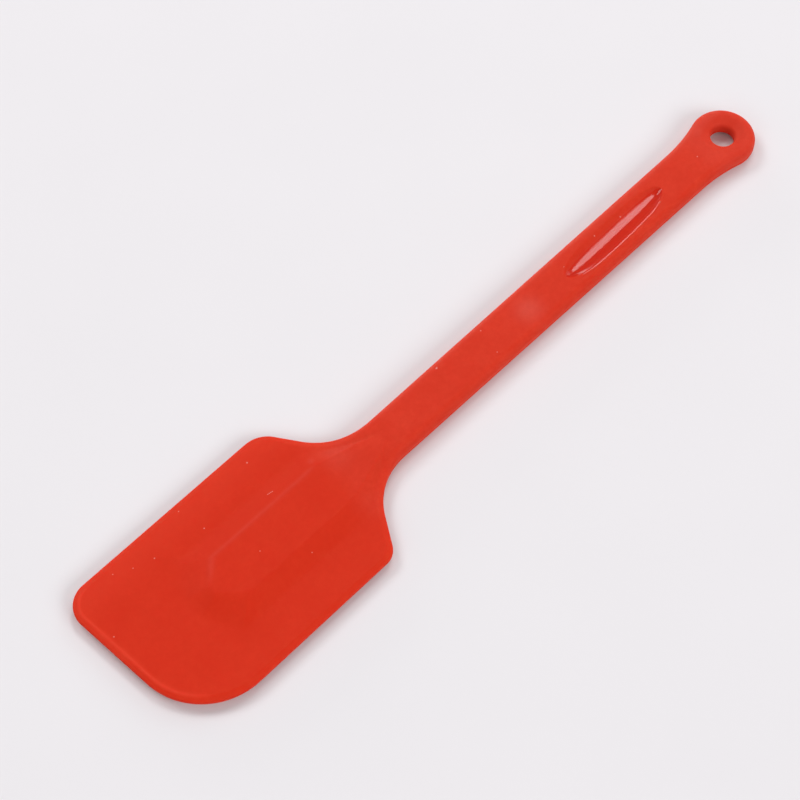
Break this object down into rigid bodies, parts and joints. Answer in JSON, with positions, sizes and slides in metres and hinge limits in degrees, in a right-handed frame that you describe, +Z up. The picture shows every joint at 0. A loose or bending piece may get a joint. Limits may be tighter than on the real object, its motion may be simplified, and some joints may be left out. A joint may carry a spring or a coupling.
{
  "type": "silicone spatula",
  "caption": "Flat silicone spatula with a slanted soft-cornered blade, a pad over a stiff inner core, a slim grip with a thumb recess and a hanging ring.",
  "frame": {"origin": "on the resting face, under the middle of the length and width", "axes": "+X from the blade's end to the hanging ring, +Y across the blade, +Z up out of the flat face"},
  "size_m": [0.26, 0.0556, 0.006],
  "materials": {
    "red_silicone": "satin moulded",
    "core_nylon": "moulded, unseen"
  },
  "bodies": {
    "root": {"silicone_overmould": "red_silicone", "nylon_core": "core_nylon"}
  },
  "joints": []
}
